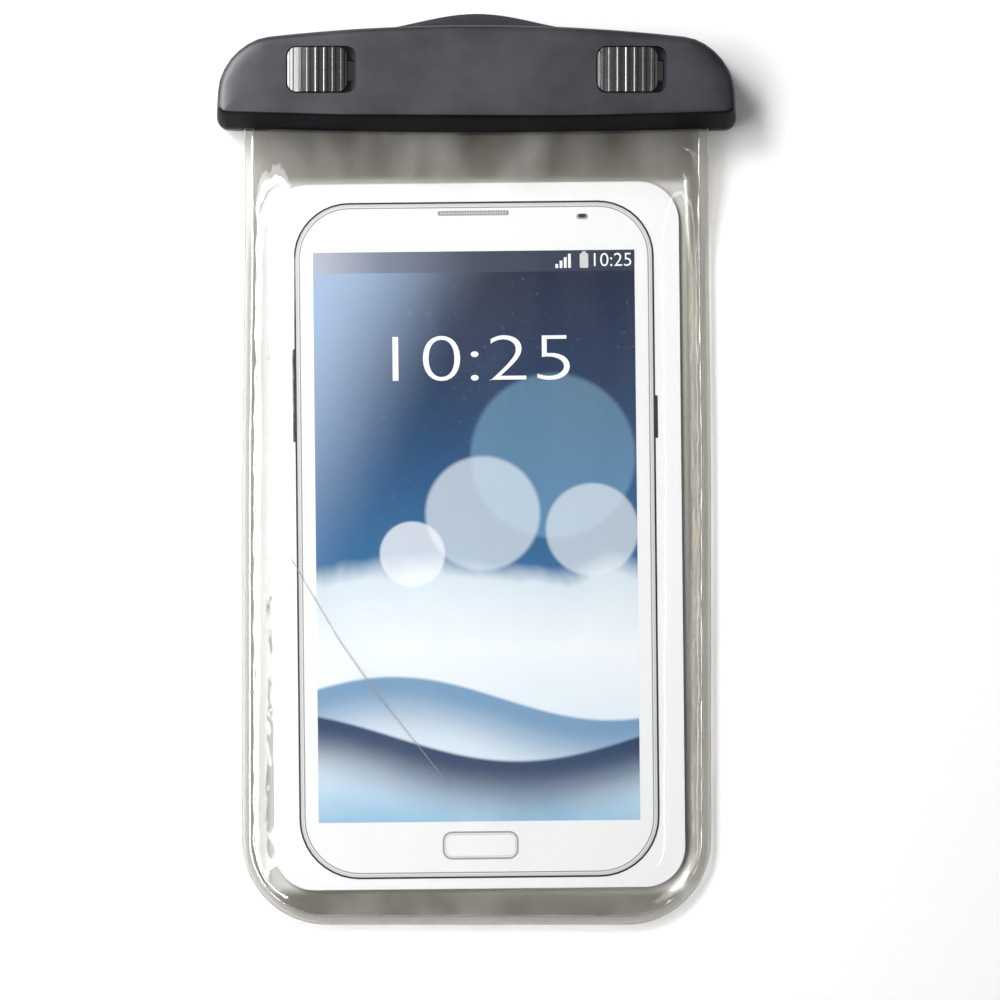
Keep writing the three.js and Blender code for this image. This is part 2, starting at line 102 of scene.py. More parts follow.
# Film: distances of the grid's lines from the outer edge, closest at the weld line
FILM_INSETS = [
    inset * MM
    for inset in (
        0, 0.2, 0.5, 1.0, 1.5, 1.75, 1.9, 2.0, 2.1, 2.25,
        2.5, 3.0, 3.7, 4.6, 5.8, 7.2, 8.8, 10.4, 12.2, 14.2,
    )
]
INNER_STEPS = 26

# Film: slots of its materials
OUTSIDE, SEAM, FLANGE, INSIDE, FLANGE_INSIDE = range(5)

# Film: starting places in the noise
FRONT_FOLD_SEED = 1.7
BACK_FOLD_SEED = 9.4
PUCKER_SEED = 3.1
RIPPLE_SEED = 5.2

# The fold line seen in the front film, as (x, y)
FOLD_ROUTE = [
    (-45.7 * MM, -12.5 * MM),
    (-30.5 * MM, -38.2 * MM),
    (-22.7 * MM, -49.4 * MM),
    (-5.9 * MM, -70.6 * MM),
]
FOLD_WIDTH = 0.55 * MM
FOLD_RISE = 0.03 * MM

# Print on the card
CARD_TURN = math.radians(0.6)
INK = 0.02 * MM
INK_GAP = 0.005 * MM
INK_STEP = 1.5
INK_GLOSS = 0.15
INK_ROUGHNESS = 0.42
INK_GRAIN = 0.006 * MM
FIBRE_SCALE = 1400

# The pictured phone, from the card's middle; its corners are (upper, lower)
PHONE = (80.7 * MM, 151.5 * MM)
PHONE_MIDDLE = (0, -0.9 * MM)
PHONE_CORNERS = (12.5 * MM, 13.5 * MM)
OUTLINE = 0.42 * MM
SCREEN = (72 * MM, 127.7 * MM)
SCREEN_MIDDLE = (0, -0.1 * MM)
SCREEN_CORNER = 0.2 * MM
SCREEN_SHAPE = 0.5625
BAND_HEIGHT = 4.7 * MM
STATUS_Y = SCREEN_MIDDLE[1] + SCREEN[1] / 2 - BAND_HEIGHT / 2

# Lights: name, place, width, length, watts, and whether it makes highlights only
LIGHTS = (
    ("key", (-0.50, 0.62, 0.75), 0.34, 0.34, 6.5, False),
    ("left_panel", (-0.34, 0.10, 0.42), 0.36, 0.70, 3.6, False),
    ("left_sheen", (-0.40, 0.05, 0.26), 0.30, 0.80, 7.0, True),
    ("rib_glint", (-0.34, 0.06, 0.36), 0.07, 0.80, 5.5, True),
    ("left_glint", (-0.27, -0.16, 0.46), 0.05, 0.52, 2.6, True),
    ("right_strip", (0.50, -0.05, 0.75), 0.07, 0.80, 0.7, False),
)
SKY_WAY = (-0.35, 0.35, 0.87)
SKY_DIM = 0.2
SKY_FULL_AT = 0.75
SKY_STRENGTH = 0.25


def smooth(t):
    t = min(max(t, 0.0), 1.0)
    return t * t * (3 - 2 * t)


def lerp(a, b, t):
    return a + (b - a) * t


# Materials


class Graph:
    """A node material, written as short calls."""

    def __init__(self, name):
        self.material = bpy.data.materials.new(name)
        self.material.use_nodes = True
        self.tree = self.material.node_tree
        self.tree.nodes.clear()
        self.output = self.tree.nodes.new("ShaderNodeOutputMaterial")

    def put(self, value, socket):
        if isinstance(value, bpy.types.NodeSocket):
            self.tree.links.new(value, socket)
        elif value is not None:
            socket.default_value = value

    def node(self, kind, inputs=None, **settings):
        made = self.tree.nodes.new(kind)
        for key, value in settings.items():
            setattr(made, key, value)
        for key, value in (inputs or {}).items():
            self.put(value, made.inputs[key])
        return made

    def math(self, operation, a, b=None, c=None, clamp=False):
        made = self.node("ShaderNodeMath", operation=operation, use_clamp=clamp)
        for socket, value in zip(made.inputs, (a, b, c)):
            self.put(value, socket)
        return made.outputs[0]

    def mix(self, share, a, b):
        made = self.node("ShaderNodeMix", data_type="RGBA")
        for index, value in ((0, share), (6, a), (7, b)):
            self.put(value, made.inputs[index])
        return made.outputs[2]

    def ramp(self, share, stops):
        made = self.node("ShaderNodeValToRGB", {"Fac": share})
        elements = made.color_ramp.elements
        while len(elements) < len(stops):
            elements.new(0.5)
        for element, (place, colour) in zip(elements, stops):
            element.position = place
            element.color = (*colour, 1)
        return made.outputs["Color"]

    def step(self, value, low, high):
        made = self.node("ShaderNodeMapRange", interpolation_type="SMOOTHSTEP")
        for socket, number in zip(made.inputs, (value, low, high, 0.0, 1.0)):
            self.put(number, socket)
        return made.outputs[0]

    def place(self, scale=(1, 1, 1)):
        source = self.node("ShaderNodeTexCoord").outputs["Object"]
        return self.node("ShaderNodeMapping", {"Vector": source, "Scale": scale}).outputs[0]

    def noise(self, vector, scale, detail=3.0, roughness=0.5, distortion=0.0):
        inputs = {"Vector": vector, "Scale": scale, "Detail": detail}
        inputs.update({"Roughness": roughness, "Distortion": distortion})
        return self.node("ShaderNodeTexNoise", inputs).outputs["Fac"]

    def bump(self, height, distance, normal=None):
        inputs = {"Height": height, "Distance": distance, "Normal": normal}
        return self.node("ShaderNodeBump", inputs).outputs["Normal"]

    def transparent(self, colour):
        if not isinstance(colour, bpy.types.NodeSocket):
            colour = (*colour, 1)
        return self.node("ShaderNodeBsdfTransparent", {"Color": colour}).outputs[0]

    def principled(self, inputs):
        return self.node("ShaderNodeBsdfPrincipled", inputs).outputs[0]

    def blend(self, share, a, b):
        return self.node("ShaderNodeMixShader", {0: share, 1: a, 2: b}).outputs[0]

    def finish(self, surface):
        self.tree.links.new(surface, self.output.inputs["Surface"])
        return self.material


def plastic(name, colour, light, roughness, gloss, grain=0.010 * MM, index=1.5):
    """Matte moulded plastic: fine spark-eroded grain, faint cloudiness and rubbed patches."""
    g = Graph(name)
    place = g.place()
    cloud = g.noise(place, 55, 4, 0.6)
    fine = g.noise(place, 2600, 2, 0.6)
    speck = g.noise(place, 1100, 3, 0.7)
    rubbed = g.math("MULTIPLY", g.step(speck, 0.58, 0.78), 0.22)
    tone = g.mix(g.step(cloud, 0.3, 0.75), (*colour, 1), (*light, 1))
    tone = g.mix(rubbed, tone, (*light, 1))
    rough = g.math("ADD", g.math("MULTIPLY", cloud, 0.16), roughness - 0.08)
    normal = g.bump(fine, grain)
    normal = g.bump(speck, grain * 1.6, normal)
    inputs = {"Base Color": tone, "Roughness": rough, "Normal": normal}
    inputs.update({"Specular IOR Level": gloss, "IOR": index})
    return g.finish(g.principled(inputs))


def rubber():
    """Soft pale strip with a dull grain."""
    g = Graph("soft_seal")
    grain = g.noise(g.place(), 900, 3)
    tone = g.mix(grain, (0.50, 0.50, 0.48, 1), (0.62, 0.62, 0.60, 1))
    rough = g.math("ADD", g.math("MULTIPLY", grain, 0.2), 0.6)
    inputs = {"Base Color": tone, "Roughness": rough, "Normal": g.bump(grain, 0.02 * MM)}
    return g.finish(g.principled(inputs))


def steel():
    """Drawn wire, with fine streaks along it."""
    g = Graph("drawn_steel")
    streak = g.noise(g.place(scale=(40, 1500, 1500)), 1.0, 3)
    rough = g.math("ADD", g.math("MULTIPLY", streak, 0.15), 0.25)
    inputs = {"Base Color": (0.62, 0.62, 0.64, 1), "Metallic": 1.0, "Roughness": rough}
    inputs["Normal"] = g.bump(streak, 0.01 * MM)
    return g.finish(g.principled(inputs))


def coated(g, tone, fibre):
    """The surface of coated card or of the ink on it."""
    rough = g.math("MULTIPLY_ADD", fibre, 0.12, INK_ROUGHNESS)
    inputs = {"Base Color": tone, "Roughness": rough, "Normal": g.bump(fibre, INK_GRAIN)}
    inputs["Specular IOR Level"] = INK_GLOSS
    return g.finish(g.principled(inputs))


def paper(name, colour):
    """Card or ink of one colour, with faint fibre mottle."""
    g = Graph(name)
    mottle = 0.03
    place = g.place()
    fibre = g.noise(place, FIBRE_SCALE, 2, 0.65)
    cloud = g.noise(place, 40, 1)
    darker = tuple(c * (1 - mottle) for c in colour)
    tone = g.mix(g.step(fibre, 0.25, 0.8), (*darker, 1), (*colour, 1))
    tone = g.mix(g.math("MULTIPLY", cloud, mottle * 2), tone, (*darker, 1))
    return coated(g, tone, fibre)


def status_band():
    """The dark band at the screen's top, paler towards its left end: partly the print's colour, partly
    painted glare.
    """
    g = Graph("print_band_with_painted_glare")
    uv = g.node("ShaderNodeUVMap", uv_map="UVMap").outputs[0]
    along = g.node("ShaderNodeSeparateXYZ", {0: uv}).outputs[0]
    fibre = g.noise(g.place(), FIBRE_SCALE, 2, 0.65)
    # The pale first stops at the band's left end are partly print, partly painted glare
    stops = [
        (0.00, (0.42, 0.44, 0.53)),
        (0.22, (0.16, 0.19, 0.26)),
        (0.50, (0.022, 0.034, 0.066)),
        (1.00, (0.014, 0.024, 0.050)),
    ]
    tone = g.ramp(g.math("MULTIPLY_ADD", fibre, 0.04, g.math("SUBTRACT", along, 0.02)), stops)
    return coated(g, tone, fibre)


def wallpaper():
    """Generic picture on the screen: a blue field with pale discs over white, and two blue swells. Its pale
    wash at the upper left is partly the picture's own colour and partly painted glare.
    """
    g = Graph("screen_picture_with_painted_glare")
    uv = g.node("ShaderNodeUVMap", uv_map="UVMap").outputs[0]
    split = g.node("ShaderNodeSeparateXYZ", {0: uv})
    u, v = split.outputs[0], split.outputs[1]
    grain = g.noise(g.place(), 900, 2, 0.7)
    cloud = g.noise(uv, 3.2, 4, 0.55, 0.4)
    height = g.math("ADD", v, g.math("MULTIPLY", g.math("SUBTRACT", cloud, 0.5), 0.10))
    stops = [
        (0.00, (0.30, 0.50, 0.68)),
        (0.10, (0.66, 0.76, 0.85)),
        (0.30, (0.80, 0.84, 0.88)),
        (0.42, (0.62, 0.71, 0.78)),
        (0.46, (0.010, 0.11, 0.27)),
        (0.60, (0.004, 0.065, 0.18)),
        (0.78, (0.003, 0.024, 0.078)),
        (1.00, (0.003, 0.007, 0.026)),
    ]
    picture = g.ramp(height, stops)
    # Pale blue wash over the upper left: partly the picture's own colour, partly painted glare
    slant = g.math("ADD", u, g.math("MULTIPLY", g.math("SUBTRACT", 1.0, v), 0.9))
    glow_and_painted_glare = g.math("SUBTRACT", 1.0, g.step(slant, 0.05, 0.62))
    picture = g.mix(g.math("MULTIPLY", glow_and_painted_glare, 0.85), picture, (0.38, 0.51, 0.72, 1))

    def disc(x, y, radius, soft, share, colour, below):
        across = g.math("MULTIPLY", g.math("SUBTRACT", u, x), SCREEN_SHAPE)
        along = g.math("SUBTRACT", v, y)
        reach = g.math("SQRT", g.math("ADD", g.math("POWER", across, 2.0), g.math("POWER", along, 2.0)))
        inside = g.math("SUBTRACT", 1.0, g.step(reach, radius - soft, radius))
        return g.mix(g.math("MULTIPLY", inside, share), below, (*colour, 1))

    for x, y, radius, soft, share, colour in (
        (0.74, 0.64, 0.150, 0.012, 0.26, (0.30, 0.58, 0.80)),
        (0.52, 0.54, 0.105, 0.010, 0.52, (0.74, 0.82, 0.88)),
        (0.86, 0.51, 0.085, 0.008, 0.50, (0.80, 0.86, 0.90)),
        (0.30, 0.47, 0.060, 0.006, 0.60, (0.86, 0.89, 0.92)),
    ):
        picture = disc(x, y, radius, soft, share, colour, picture)

    def swell(level, depth, waves, phase, colour, share, below):
        bend = g.math("SINE", g.math("ADD", g.math("MULTIPLY", u, waves), phase))
        over = g.math("SUBTRACT", v, g.math("ADD", g.math("MULTIPLY", bend, depth), level))
        under = g.math("SUBTRACT", 1.0, g.step(over, -0.004, 0.004))
        fade = g.step(over, -0.13, -0.01)
        return g.mix(g.math("MULTIPLY", g.math("MULTIPLY", under, fade), share), below, (*colour, 1))

    picture = swell(0.215, 0.040, 4.6, 0.5, (0.060, 0.21, 0.40), 0.85, picture)
    picture = swell(0.150, 0.045, 4.0, 2.2, (0.004, 0.028, 0.095), 0.97, picture)
    picture = g.mix(g.math("MULTIPLY", g.step(grain, 0.62, 0.80), 0.10), picture, (0.7, 0.8, 0.9, 1))
    rough = g.math("ADD", g.math("MULTIPLY", grain, 0.1), 0.35)
    inputs = {"Base Color": picture, "Roughness": rough, "Normal": g.bump(grain, 0.004 * MM)}
    inputs["Specular IOR Level"] = INK_GLOSS
    return g.finish(g.principled(inputs))


def off_card(g):
    """Nothing over the card, growing to full beside it."""
    split = g.node("ShaderNodeSeparateXYZ", {0: g.place()})
    aside = g.math("SUBTRACT", g.math("ABSOLUTE", split.outputs[0]), CARD_HALF.x)
    along = g.math("ABSOLUTE", g.math("SUBTRACT", split.outputs[1], CARD_CENTRE.y))
    return g.step(g.math("MAXIMUM", aside, g.math("SUBTRACT", along, CARD_HALF.y)), -1 * MM, 1.5 * MM)


def film(name, haze, wrinkle):
    """Outer face of clear flexible film: it mirrors by its slope, and is hazier beside the card."""
    mirror_ahead, mirror_aslant, mirror_power = 0.062, 0.85, 5.0
    haze_over_card = 0.12
    g = Graph(name)
    long_folds = g.noise(g.place(scale=(1, 0.35, 1)), 95, 1.6, 0.55)
    small_folds = g.noise(g.place(), 420, 1.0, 0.6)
    normal = g.bump(long_folds, wrinkle)
    normal = g.bump(small_folds, wrinkle * 0.12, normal)
    turned = g.node("ShaderNodeLayerWeight", {"Blend": 0.5, "Normal": normal}).outputs["Facing"]
    mirror = g.math("MULTIPLY_ADD", g.math("POWER", turned, mirror_power), mirror_aslant, mirror_ahead)
    rough = g.math("MULTIPLY_ADD", small_folds, 0.10, 0.03)
    gloss_inputs = {"Color": (1, 1, 1, 1), "Roughness": rough, "Normal": normal}
    gloss = g.node("ShaderNodeBsdfGlossy", gloss_inputs).outputs[0]
    milk = g.node("ShaderNodeBsdfDiffuse", {"Color": (0.80, 0.79, 0.77, 1), "Roughness": 0.9}).outputs[0]
    cloudy = g.math("MULTIPLY", g.step(long_folds, 0.3, 0.75), g.math("ADD", off_card(g), haze_over_card))
    hazed = g.blend(g.math("MULTIPLY", cloudy, haze), g.transparent((0.995, 0.995, 0.993)), milk)
    return g.finish(g.blend(mirror, hazed, gloss))


def film_inside(name, through, beside):
    """Inner face of the film, which only tints what is behind it, more beside the card."""
    g = Graph(name)
    return g.finish(g.transparent(g.mix(off_card(g), (*through, 1), (*beside, 1))))


def pressed_line(name, through, painted_shade_share):
    """Pressed edge of the welded films, or a fold, which bends the light; the grey line it shows is painted
    shade, an opaque grey mixed over the clear film.
    """
    g = Graph(name)
    patches = g.noise(g.place(), 300, 3)
    inputs = {"Base Color": (0.55, 0.54, 0.52, 1), "Roughness": 0.25, "Normal": g.bump(patches, 0.1 * MM)}
    # Share of the painted shade: the grey layer that stands for the light the line bends
    share = g.math("MULTIPLY_ADD", patches, 0.5, painted_shade_share - 0.25, clamp=True)
    return g.finish(g.blend(share, g.transparent(through), g.principled(inputs)))


def floor_white():
    g = Graph("floor_white")
    tone = g.mix(g.noise(g.place(), 3, 2), (0.90, 0.90, 0.90, 1), (0.92, 0.92, 0.92, 1))
    return g.finish(g.principled({"Base Color": tone, "Roughness": 0.9}))


# Meshes


def mesh_object(name, vertices, faces, materials, slots=None, shade=True):
    mesh = bpy.data.meshes.new(name)
    mesh.from_pydata([tuple(v) for v in vertices], [], faces)
    for material in materials:
        mesh.materials.append(material)
    if slots is not None:
        mesh.polygons.foreach_set("material_index", slots)
    mesh.polygons.foreach_set("use_smooth", [shade] * len(mesh.polygons))
    mesh.update()
    made = bpy.data.objects.new(name, mesh)
    bpy.context.scene.collection.objects.link(made)
    return made


def clean_mesh(mesh, merge=None, outward=False):
    """Joins points that lie nearer than merge, and turns the faces outward."""
    work = bmesh.new()
    work.from_mesh(mesh)
    if merge is not None:
        bmesh.ops.remove_doubles(work, verts=work.verts, dist=merge)
    if outward:
        bmesh.ops.recalc_face_normals(work, faces=work.faces)
    work.to_mesh(mesh)
    work.free()


def apply_modifiers(piece):
    depsgraph = bpy.context.evaluated_depsgraph_get()
    done = bpy.data.meshes.new_from_object(piece.evaluated_get(depsgraph))
    piece.modifiers.clear()
    piece.data = done


# Clip: the moulded pieces, with the small edge rounds that the frame's solids leave out


def moulded(node, body, material, round_over, painted_shade_flank_material=None):
    """A copy of the frame's piece with rounded edges, and a darker material as painted shade on its lower
    side if one is given.
    """
    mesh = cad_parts[node].data.copy()
    made = bpy.data.objects.new(node + "_moulding", mesh)
    bpy.context.scene.collection.objects.link(made)
    mesh.materials.clear()
    mesh.materials.append(material)
    if painted_shade_flank_material:
        mesh.materials.append(painted_shade_flank_material)
    work = bmesh.new()
    work.from_mesh(mesh)
    bmesh.ops.remove_doubles(work, verts=work.verts, dist=0.002 * MM)
    bmesh.ops.dissolve_limit(work, angle_limit=math.radians(FLAT_ANGLE), verts=work.verts, edges=work.edges)
    for face in work.faces:
        # Faces that slope downward, low on the piece, take the darker material as painted shade
        in_painted_shade = face.normal.y < PAINTED_SHADE_FLANK_SLOPE and face.calc_center_median().z < PAINTED_SHADE_FLANK_TOP
        face.material_index = 1 if painted_shade_flank_material and in_painted_shade else 0
        face.smooth = True
    for edge in work.edges:
        edge.smooth = len(edge.link_faces) == 2 and edge.calc_face_angle() < math.radians(SHARP_ANGLE)
    work.to_mesh(mesh)
    work.free()
    bevel = made.modifiers.new("edges", "BEVEL")
    bevel.width = round_over
    bevel.segments = 3
    bevel.limit_method = "ANGLE"
    bevel.angle_limit = math.radians(SHARP_ANGLE)
    weighted = made.modifiers.new("face_normals", "WEIGHTED_NORMAL")
    weighted.keep_sharp = True
    apply_modifiers(made)
    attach(made, body)
    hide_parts(node)


# Film


def half_width(y):
    middle = lerp(CLOSED_END, CLIP_Y, 0.5)
    return lerp(POUCH_HALF, MOUTH_HALF, smooth((y - middle) / (CLIP_Y - middle)))


def climb(y, rise):
    return smooth((y - (CLIP_Y - rise)) / rise)


def out_of_jaws(y):
    """Full along the pouch, falling to nothing where the jaws press the film flat."""
    return 1 - smooth((y - (CLIP_Y - JAW_GRIP)) / JAW_GRIP)


def weld_height(y):
    return lerp(REST_WELD_Z, NECK_Z, climb(y, WELD_RISE))


def folds(x, y, seed):
    """Soft unevenness of film that has lain in a box: long waves along the pouch, finer ones across."""
    slow_rise, quick_rise = 0.34 * MM, 0.10 * MM
    slow = noise.noise(Vector((x * 38, y * 16, seed)))
    quick = noise.noise(Vector((x * 120, y * 45, seed + 7.3)))
    return slow_rise * slow + quick_rise * quick


def puckers(x, y, seed):
    """Short folds that fan out from the clip's lower edge."""
    reach, pitch, rise = 9 * MM, 2.6 * MM, 0.42 * MM
    away = max(CLIP_Y - y, 0.0) / reach
    wander = noise.noise(Vector((x * 60, seed, 0.4)))
    wave = math.sin(x / pitch + 3.0 * wander)
    return rise * away * math.exp(-away) * wave * (0.4 + abs(wander) * 1.6)


def edge_ripple(inside, along, seed):
    """Small gathers that the weld leaves in the film beside it."""
    reach, start, pitch, rise = 3.4 * MM, 0.8 * MM, 1.5 * MM, 0.22 * MM
    size = 0.4 + noise.noise(Vector((along * 90, seed, 2.1)))
    near = math.exp(-((inside / reach) ** 2)) * smooth(inside / start)
    return rise * near * size * math.sin(along / pitch)


def bead(inset):
    """The raised line along the weld's inner side, and the thicker cut edge."""
    line_width, line_rise = 0.16 * MM, 0.13 * MM
    edge_width, edge_rise = 0.18 * MM, 0.05 * MM
    line = math.exp(-(((inset - WELD) / line_width) ** 2))
    edge = math.exp(-((inset / edge_width) ** 2))
    return line_rise * line + edge_rise * edge


def front_height(x, y, inside, inset, along):
    """Top of the front film, which rises from the weld to the fill, and to the neck near the clip."""
    weld = weld_height(y) + WELD_HALF_GAP + FILM
    crown = lerp(FILL_Z, NECK_Z + NECK_HALF_GAP + FILM, climb(y, WELD_RISE))
    loose = out_of_jaws(y)
    free = smooth(inside / FRONT_SHOULDER)
    uneven = (folds(x, y, FRONT_FOLD_SEED) + puckers(x, y, PUCKER_SEED)) * free - SAG * free
    neck_gap = NECK_SPREAD * (1 - loose) * (1 - free)
    base = lerp(weld, crown, free) + neck_gap
    return base + loose * (uneven + edge_ripple(inside, along, RIPPLE_SEED)) + loose * bead(inset)


def back_height(x, y, inside, inset, along):
    """Top of the back film, which lies on the floor and climbs to the neck near the clip."""
    weld = weld_height(y) - WELD_HALF_GAP
    floor = lerp(FILM, NECK_Z - NECK_HALF_GAP, climb(y, NECK_RISE))
    loose = out_of_jaws(y)
    free = smooth(inside / lerp(BACK_SHOULDER, BACK_NECK_SHOULDER, climb(y, NECK_RISE)))
    flat_rim, rim_fade = 3 * MM, 3 * MM
    waves = max(folds(x, y, BACK_FOLD_SEED), 0.0) * 0.5
    uneven = waves * free * smooth((inside - flat_rim) / rim_fade)
    neck_gap = -NECK_SPREAD * (1 - loose) * (1 - free)
    return lerp(weld, floor, free) + neck_gap + loose * uneven


def film_stops():
    """Where the grid's lines leave the edge: closed end, corner, then the side, finer near the clip."""
    end_steps, corner_steps, side_steps, climb_steps, neck_steps = 14, 22, 88, 34, 8
    straight = POUCH_HALF - CORNER
    side_low, side_high = CLOSED_END + CORNER, CLIP_Y - WELD_RISE
    stops = [(straight * i / end_steps, CLOSED_END, 0, -1) for i in range(end_steps)]
    for i in range(corner_steps + 1):
        angle = (i / corner_steps - 1) * math.pi / 2
        stops.append((straight, side_low, math.cos(angle), math.sin(angle)))
    for low, high, steps in (
        (side_low, side_high, side_steps),
        (side_high, CLIP_Y, climb_steps),
        (CLIP_Y, MOUTH_END, neck_steps),
    ):
        stops += [(None, lerp(low, high, i / steps), 1, 0) for i in range(1, steps + 1)]
    return stops


def edge_point(stop, inset):
    x, y, across, along = stop
    if x is None:
        return half_width(y) - inset, y
    if across == 0:
        return x, y + inset
    return x + (CORNER - inset) * across, y + (CORNER - inset) * along


def film_rows():
    """The grid's right half: for each stop, points from the edge to the middle as (x, y, inset, along)."""
    spine_low = CLOSED_END + POUCH_HALF
    stops = film_stops()
    length = 0.0
    last = None
    rows = []
    for n, stop in enumerate(stops):
        edge = Vector(edge_point(stop, 0))
        length += (edge - last).length if last is not None else 0.0
        last = edge
        row = [(*edge_point(stop, inset), inset, length) for inset in FILM_INSETS]
        x, y, inset, _ = row[-1]
        spine = lerp(spine_low, MOUTH_END, n / (len(stops) - 1))
        if stop[0] is None and y > spine_low:
            spine = max(spine, y)
        for i in range(1, INNER_STEPS + 1):
            t = i / INNER_STEPS
            row.append((lerp(x, 0, t), lerp(y, spine, t), inset + x * t, length))
        rows.append(row)
    return rows


def film_slots(inset, next_inset):
    """Slots of the outer and the inner face between two distances from the film's edge."""
    on_flange = next_inset < WELD - 0.2 * MM
    on_line = abs((inset + next_inset) / 2 - WELD) < SEAM_HALF
    if inset == 0 or on_line:
        outer = SEAM
    else:
        outer = FLANGE if on_flange else OUTSIDE
    return outer, FLANGE_INSIDE if on_flange else INSIDE


def punch_post_holes(piece):
    """The holes that the clip's two posts pass through."""
    sides = 32
    reach = 3 * MM
    for x in (-POST_X, POST_X):
        angles = [2 * math.pi * n / sides for n in range(sides)]
        ring = [(x + POST_HOLE * math.cos(a), POST_Y + POST_HOLE * math.sin(a)) for a in angles]
        vertices = [(*p, NECK_Z - reach) for p in ring] + [(*p, NECK_Z + reach) for p in ring]
        faces = [[n, (n + 1) % sides, sides + (n + 1) % sides, sides + n] for n in range(sides)]
        faces += [list(reversed(range(sides))), [sides + n for n in range(sides)]]
        cutter = mesh_object("post_hole_cutter", vertices, faces, [], shade=False)
        cut = piece.modifiers.new("post_hole", "BOOLEAN")
        cut.operation = "DIFFERENCE"
        cut.solver = "EXACT"
        cut.object = cutter
        apply_modifiers(piece)
        bpy.data.objects.remove(cutter)


def make_film(name, node, height, materials, outside_up):
    """One sheet of film with its thickness, from the right half of the grid and its mirror image."""
    rows = film_rows()
    columns = len(rows[0])
    vertices, index = [], {}
    faces, slots = [], []

    def corner(side, i, k, under):
        x, y, inset, along = rows[i][k]
        key = (side if x > 1e-9 else 0, i, k, under)
        if key not in index:
            inside = max(inset - WELD, 0.0)
            z = height(x * side, y, inside, inset, along * side) - (FILM if under else 0.0)
            index[key] = len(vertices)
            vertices.append((x * side, y, max(z, FLOOR_GAP if under else LEAST_TOP)))
        return index[key]

    def face(side, points, slot):
        points = points if side > 0 else points[::-1]
        points = [p for n, p in enumerate(points) if p != points[n - 1]]
        if len(points) > 2:
            faces.append(points)
            slots.append(slot)

    def rim(side, first, second, slot):
        low = [corner(side, *place, True) for place in (first, second)]
        top = [corner(side, *place, False) for place in (second, first)]
        face(side, low + top, slot)

    last_row = len(rows) - 1
    for side in (1, -1):
        for i in range(last_row):
            for k in range(columns - 1):
                ring = [(i, k), (i + 1, k), (i + 1, k + 1), (i, k + 1)]
                top = [corner(side, *place, False) for place in ring]
                low = [corner(side, *place, True) for place in ring]
                outer, inner = film_slots(rows[i][k][2], rows[i][k + 1][2])
                face(side, top, outer if outside_up else inner)
                face(side, low[::-1], inner if outside_up else outer)
            rim(side, (i, 0), (i + 1, 0), SEAM)
        for k in range(columns - 1):
            rim(side, (last_row, k), (last_row, k + 1), OUTSIDE)
    made = mesh_object(name, vertices, faces, materials, slots)
    clean_mesh(made.data, merge=0.001 * MM, outward=True)
    punch_post_holes(made)
    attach(made, POUCH_BODY)
    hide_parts(node)


def make_fold(name, route, width, rise, material):
    """A fold line left in the front film: a low ridge that runs through points in the frame's plane."""
    steps = 24
    sunk = 0.12 * MM
    points = []
    for a, b in zip(route, route[1:]):
        points += [Vector(a).lerp(Vector(b), n / steps) for n in range(steps)]
    points.append(Vector(route[-1]))
    last = len(points) - 1
    side_start = POUCH_HALF - CORNER + CORNER * math.pi / 2 - CLOSED_END - CORNER
    vertices = []
    for n, point in enumerate(points):
        ahead = points[min(n + 1, last)] - points[max(n - 1, 0)]
        across = Vector((-ahead.y, ahead.x)).normalized() * width / 2
        taper = math.sin(math.pi * min(max(n / last, 0.02), 0.98)) ** 0.5
        x, y = point
        inset = half_width(y) - abs(x)
        side = 1 if x > 0 else -1
        film_top = front_height(x, y, inset - WELD, inset, (side_start + y) * side)
        low = film_top - sunk
        for reach, z in ((-1, low), (1, low), (0, film_top + rise * taper)):
            place = point + across * reach * taper
            vertices.append((place.x, place.y, z))
    faces = []
    for a in range(0, 3 * last, 3):
        b = a + 3
        faces += [[a, b, b + 1, a + 1], [a + 1, b + 1, b + 2, a + 2], [a + 2, b + 2, b, a]]
    end = 3 * last
    faces += [[0, 1, 2], [end + 2, end + 1, end]]
    made = mesh_object(name, vertices, faces, [material])
    clean_mesh(made.data, outward=True)
    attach(made, POUCH_BODY)


# Print on the card


def rounded_rectangle(width, length, upper, lower=None, steps=10):
    """Outline round a middle at (0, 0), with one radius for the upper corners and one for the lower."""
    lower = upper if lower is None else lower
    points = []
    half, tall = width / 2, length / 2
    corners = [
        (half, -tall, lower, -90),
        (half, tall, upper, 0),
        (-half, tall, upper, 90),
        (-half, -tall, lower, 180),
    ]
    for x, y, radius, start in corners:
        cx = x - math.copysign(radius, x)
        cy = y - math.copysign(radius, y)
        for i in range(steps + 1):
            angle = math.radians(start + 90 * i / steps)
            points.append((cx + radius * math.cos(angle), cy + radius * math.sin(angle)))
    return points


def on_card(x, y):
    """A place on the card, from its middle, in the frame."""
    turned = Matrix.Rotation(CARD_TURN, 2) @ Vector((x, y))
    return CARD_CENTRE.x + turned.x, CARD_CENTRE.y + turned.y


def ink_base(level):
    """Underside of a layer of ink, where each level lies over the one before."""
    return CARD_TOP + INK_GAP + level * INK * INK_STEP


def finish_print(piece):
    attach(piece, POUCH_BODY)


